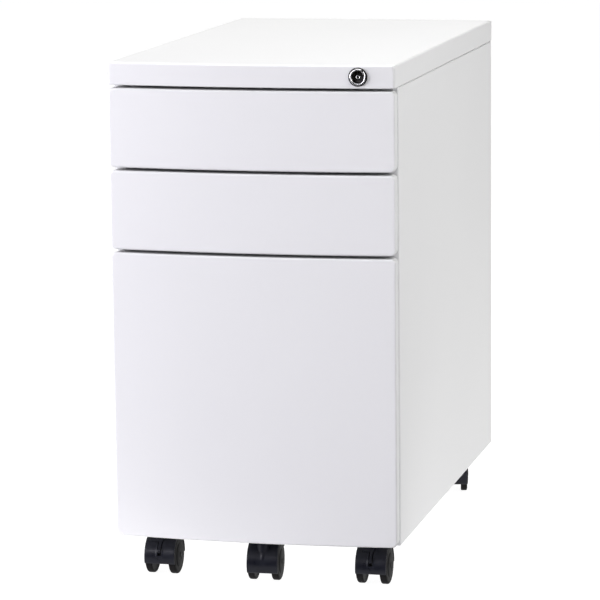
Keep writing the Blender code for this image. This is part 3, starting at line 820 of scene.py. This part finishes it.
# ------------------------------------------------------------------ CAD nodes that stay
def keep(node, mat, width=0.3, segments=2):
    """A carried-over node: welded where the file split it, edges broken, better material."""
    o = nodes[node]
    weld = o.modifiers.new("weld", "WELD")
    weld.merge_threshold = 1e-5
    if width:
        b = o.modifiers.new("edge_break", "BEVEL")
        b.width = width * MM
        b.segments = segments
        b.limit_method = "ANGLE"
        b.angle_limit = math.radians(40)
        b.use_clamp_overlap = True
    w = o.modifiers.new("even_normals", "WEIGHTED_NORMAL")
    w.keep_sharp = False
    o.data.shade_smooth()
    for slot in o.material_slots:
        slot.material = mat
    if not o.material_slots:
        o.data.materials.append(mat)


for n in nodes:
    if "_slide_" in n or n.startswith("file_rail"):
        keep(n, ZINC, 0.3)
    elif n in ("lock_rod", "lock_bar", "lock_nut"):
        keep(n, ZINC, 0.25)
    elif n in ("back_panel", "base_plate", "top_front_rail"):
        keep(n, WHITE, 0.35)
    elif n.endswith("_stem") or n.endswith("_axle"):
        keep(n, STEEL, 0.25)

for level in ("top", "middle", "file"):
    pressed_front(level)
    folded_box(level)
pressed_cover()
folded_side("left", -1.0)
folded_side("right", 1.0)
lock_pieces()
for caster in CASTERS:
    caster_pieces(caster)
fixings()


# ------------------------------------------------------------------ stage, light and camera
def stage_material(name, colour, emission):
    m, t, s = new_material(name)
    s.inputs["Base Color"].default_value = (*colour, 1)
    s.inputs["Roughness"].default_value = 0.9
    s.inputs["Specular IOR Level"].default_value = 0.1
    s.inputs["Emission Color"].default_value = (1, 1, 1, 1)
    s.inputs["Emission Strength"].default_value = emission
    return m


def plate(name, corners, z, mat):
    bm = bmesh.new()
    bm.faces.new([bm.verts.new((x, y, z)) for x, y in corners])
    mesh = bpy.data.meshes.new(name)
    bm.to_mesh(mesh)
    bm.free()
    mesh.materials.append(mat)
    o = bpy.data.objects.new(name, mesh)
    bpy.context.scene.collection.objects.link(o)
    return o


# The cabinet stands on a pale, evenly glowing table that begins at the lower edge of the view and
# runs away from the camera; the studio floor in front of it is dark cloth.
CAMERA_AT = (0.834203, -3.212109 + Y_CORNER * MM, 0.869559)
CAMERA_YAW = math.radians(-13.7193)


def down_the_view(across, ahead):
    """Floor point at a distance ahead of the camera and across its view."""
    s, c = math.sin(CAMERA_YAW), math.cos(CAMERA_YAW)
    return (CAMERA_AT[0] + s * ahead + c * across, CAMERA_AT[1] + c * ahead - s * across)


FLOOR_GLOW = 0.95
plate("floor_glowing", [down_the_view(*q) for q in ((-1.5, 3.337), (12, 2.782), (12, 18), (-2.4, 18))], 0.0,
      stage_material("table_pale", (0.2, 0.2, 0.2), FLOOR_GLOW))
plate("floor_dark", ((-12, -12), (12, -12), (12, 16), (-12, 16)), -0.002,
      stage_material("cloth_dark", (0.05, 0.05, 0.05), 0.0))


def area(name, at, target, size, power, colour=(1, 1, 1), size_y=None):
    light = bpy.data.lights.new(name, "AREA")
    light.shape = "RECTANGLE"
    light.size = size
    light.size_y = size_y or size
    light.energy = power
    light.color = colour
    o = bpy.data.objects.new(name, light)
    bpy.context.scene.collection.objects.link(o)
    o.location = at
    o.rotation_mode = "QUATERNION"
    o.rotation_quaternion = (Vector(target) - Vector(at)).to_track_quat("-Z", "Y")
    return o


# the room: a dim grey base, brighter towards the left and a little towards the back, and dark behind the camera
SKY = {"base": 0.04, "up": 0.0, "left": 0.75, "right": 0.0, "back": 0.1}
world = bpy.data.worlds.new("studio")
bpy.context.scene.world = world
world.use_nodes = True
tree = world.node_tree
room = tree.nodes.new("ShaderNodeSeparateXYZ")
tree.links.new(tree.nodes.new("ShaderNodeTexCoord").outputs["Generated"], room.inputs["Vector"])


def towards(axis, sign, amount, onto):
    """Adds amount times how far a direction points along one axis."""
    part = tree.nodes.new("ShaderNodeMath")
    part.operation = "MULTIPLY"
    part.inputs[1].default_value = sign
    tree.links.new(room.outputs[axis], part.inputs[0])
    only = tree.nodes.new("ShaderNodeMath")
    only.operation = "MAXIMUM"
    only.inputs[1].default_value = 0.0
    tree.links.new(part.outputs[0], only.inputs[0])
    total = tree.nodes.new("ShaderNodeMath")
    total.operation = "MULTIPLY_ADD"
    total.inputs[1].default_value = amount
    tree.links.new(only.outputs[0], total.inputs[0])
    tree.links.new(onto, total.inputs[2])
    return total.outputs[0]


base = tree.nodes.new("ShaderNodeValue")
base.outputs[0].default_value = SKY["base"]
level_of_light = towards("Z", 1.0, SKY["up"], base.outputs[0])
level_of_light = towards("X", -1.0, SKY["left"], level_of_light)
level_of_light = towards("X", 1.0, SKY["right"], level_of_light)
level_of_light = towards("Y", 1.0, SKY["back"], level_of_light)
tree.links.new(level_of_light, tree.nodes["Background"].inputs["Strength"])
tree.nodes["Background"].inputs["Color"].default_value = (1.0, 1.0, 1.0, 1)

COOL = (1.0, 0.985, 1.07)
LAMPS = {       # name: place, aim, width, height, power, colour
    "key_left": ((-2.2, -1.7, 0.68), (0, -0.2, 0.2), 2.0, 1.4, 58.5, COOL),
    "key_sheen": ((-1.0, -2.15, 1.12), (-0.05, -0.25, 0.2), 0.85, 0.55, 9.0, COOL),
    "front_high": ((-0.5, -2.3, 2.3), (0, -0.2, 0.35), 1.2, 0.7, 5.0, COOL),
    "front_low": ((0.55, -0.95, 0.05), (0.12, -0.27, 0.08), 0.9, 0.16, 1.05, COOL),
    "top_soft": ((0.1, 0.3, 2.5), (0, 0, 0.3), 1.8, 1.8, 42.0, (1, 1, 0.985)),
    "corner_right": ((1.5, -1.75, 0.72), (0, -0.15, 0.3), 0.9, 1.1, 7.0, (1.0, 0.99, 1.02)),
    "corner_near": ((1.2, -0.6, 1.1), (0.15, -0.1, 0.35), 0.5, 0.9, 8.0, (1, 1, 0.99)),
}
for lamp, (at, aim, wide, high, power, colour) in LAMPS.items():
    area(lamp, at, aim, wide, power, colour, high)

bpy.context.scene.view_settings.view_transform = "Standard"
bpy.context.scene.view_settings.look = "None"

# The camera stands a little to the right of the front and looks slightly down.
camera = bpy.data.cameras.new("camera")
camera.sensor_fit = "AUTO"
camera.sensor_width = 36.0
camera.lens = 3292.293 / 600.0 * 36.0
camera.clip_end = 100.0
cam = bpy.data.objects.new("camera", camera)
bpy.context.scene.collection.objects.link(cam)
yaw, pitch, roll = CAMERA_YAW, math.radians(9.6514), math.radians(-0.6048)
forward = Vector((math.sin(yaw) * math.cos(pitch), math.cos(yaw) * math.cos(pitch), -math.sin(pitch)))
right = Vector((math.cos(yaw), -math.sin(yaw), 0.0))
up = right.cross(forward)
right, up = math.cos(roll) * right + math.sin(roll) * up, -math.sin(roll) * right + math.cos(roll) * up
cam.matrix_world = Matrix((
    (right.x, up.x, -forward.x, CAMERA_AT[0]),
    (right.y, up.y, -forward.y, CAMERA_AT[1]),
    (right.z, up.z, -forward.z, CAMERA_AT[2]),
    (0, 0, 0, 1),
))
bpy.context.scene.camera = cam
